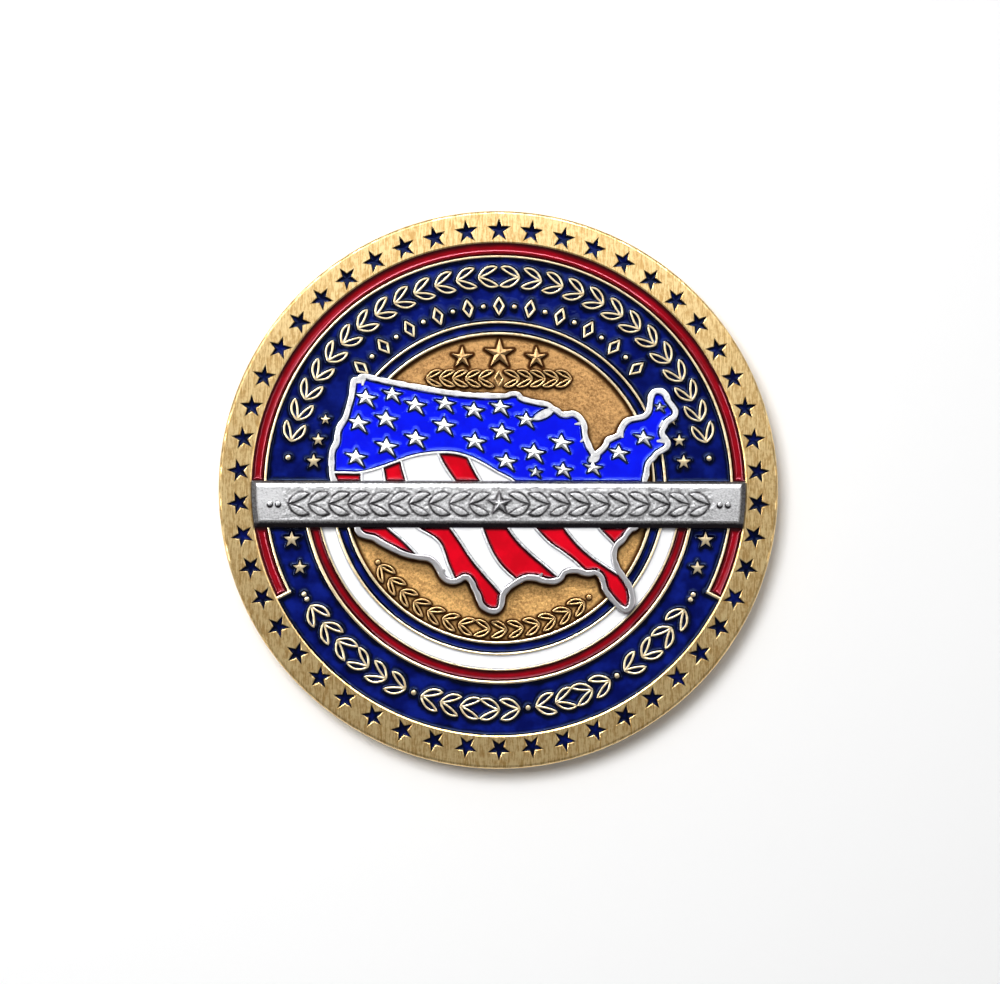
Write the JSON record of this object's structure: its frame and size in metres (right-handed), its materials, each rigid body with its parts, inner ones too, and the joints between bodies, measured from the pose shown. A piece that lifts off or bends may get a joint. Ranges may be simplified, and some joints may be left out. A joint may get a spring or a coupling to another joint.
{
  "type": "challenge coin",
  "caption": "Round struck coin with soft-enamel bands, a raised country map with stars and stripes, and a raised bar across its face.",
  "frame": {"origin": "centre of the reverse rim's flat face, on the surface that the coin lies on", "axes": "+Z out of the obverse, +Y towards twelve o'clock of the obverse, +X towards three o'clock"},
  "size_m": [0.0508, 0.0508, 0.0048],
  "materials": {
    "gold_plate": "antique gold plating, satin brushed rim, sand-blasted field",
    "nickel_plate": "antique nickel plating, stippled field, polished relief",
    "navy_enamel": "glossy translucent navy soft enamel",
    "blue_enamel": "glossy opaque royal blue soft enamel",
    "red_enamel": "glossy translucent red soft enamel",
    "white_enamel": "glossy opaque white soft enamel",
    "glue": "cured clear epoxy film"
  },
  "bodies": {
    "root": {"coin_body": "gold_plate", "red_arc_upper": "red_enamel", "red_arc_left": "red_enamel", "red_arc_right": "red_enamel", "navy_band_upper": "navy_enamel", "navy_band_lower": "navy_enamel", "navy_ring_upper_1": "navy_enamel", "navy_ring_upper_2": "navy_enamel", "navy_ring_lower_1": "navy_enamel", "navy_ring_lower_2": "navy_enamel", "red_ring_lower": "red_enamel", "white_ring_lower_1": "white_enamel", "map_plate": "nickel_plate", "map_blue_field": "blue_enamel", "map_red_upper_1": "red_enamel", "map_white_upper_1": "white_enamel", "map_red_upper_2": "red_enamel", "map_white_upper_2": "white_enamel", "map_red_upper_3": "red_enamel", "map_white_upper_3": "white_enamel", "map_red_lower_1": "red_enamel", "map_white_lower_1": "white_enamel", "map_red_lower_2": "red_enamel", "map_white_lower_2": "white_enamel", "map_red_lower_3": "red_enamel", "map_white_lower_3": "white_enamel", "map_red_lower_4": "red_enamel", "map_white_lower_4": "white_enamel", "map_red_lower_5": "red_enamel", "map_glue_film": "glue", "bar_plate": "nickel_plate", "bar_glue_film": "glue", "reverse_navy_band": "navy_enamel"}
  },
  "joints": []
}
